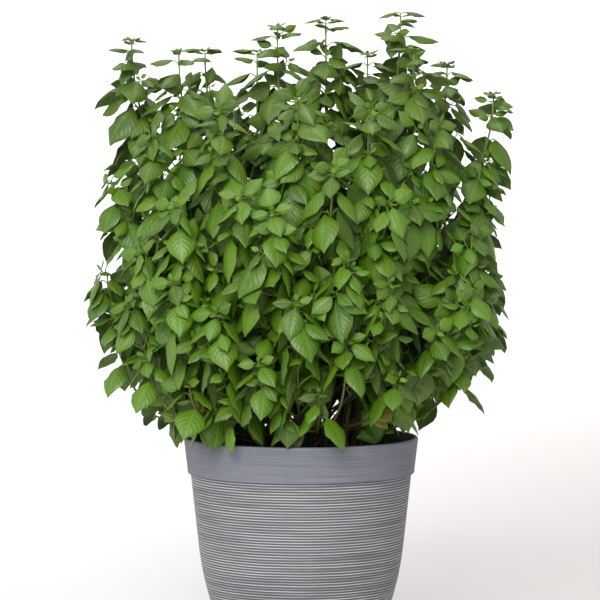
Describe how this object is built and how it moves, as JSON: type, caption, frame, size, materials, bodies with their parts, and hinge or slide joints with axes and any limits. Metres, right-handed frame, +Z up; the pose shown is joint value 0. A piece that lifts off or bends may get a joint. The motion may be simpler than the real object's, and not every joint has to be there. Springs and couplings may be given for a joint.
{
  "type": "potted basil plant",
  "caption": "Bushy basil plant with opposite pairs of ovate leaves, rooted in soil in a round tapered planter with a smooth rim band and fine combed ribs.",
  "frame": {"origin": "centre of the pot's flat base", "axes": "+Z up along the pot's axis, -Y towards the side that the picture shows, +X to the right of that view"},
  "size_m": [0.5427, 0.4982, 0.805],
  "materials": {
    "planter": "grey, matt, combed while soft, with paler worn ridges and a smooth band under the rim",
    "soil": "dark brown potting mix, damp, crumbly, with bark and fibre",
    "foliage": "fresh green leaf, satin, with a paler midrib and quilted side veins, on light green stems"
  },
  "bodies": {
    "root": {"pot": "planter", "soil": "soil", "leafy_stem_01": "foliage", "leafy_stem_02": "foliage", "leafy_stem_03": "foliage", "leafy_stem_04": "foliage", "leafy_stem_05": "foliage", "leafy_stem_06": "foliage", "leafy_stem_07": "foliage", "leafy_stem_08": "foliage", "leafy_stem_09": "foliage", "leafy_stem_10": "foliage", "leafy_stem_11": "foliage", "leafy_stem_12": "foliage", "leafy_stem_13": "foliage", "leafy_stem_14": "foliage", "leafy_stem_15": "foliage", "leafy_stem_16": "foliage", "leafy_stem_17": "foliage", "leafy_stem_18": "foliage", "leafy_stem_19": "foliage", "leafy_stem_20": "foliage", "leafy_stem_21": "foliage", "leafy_stem_22": "foliage", "leafy_stem_23": "foliage", "leafy_stem_24": "foliage", "leafy_stem_25": "foliage", "leafy_stem_26": "foliage", "leafy_stem_27": "foliage", "leafy_stem_28": "foliage", "leafy_stem_29": "foliage"}
  },
  "joints": []
}
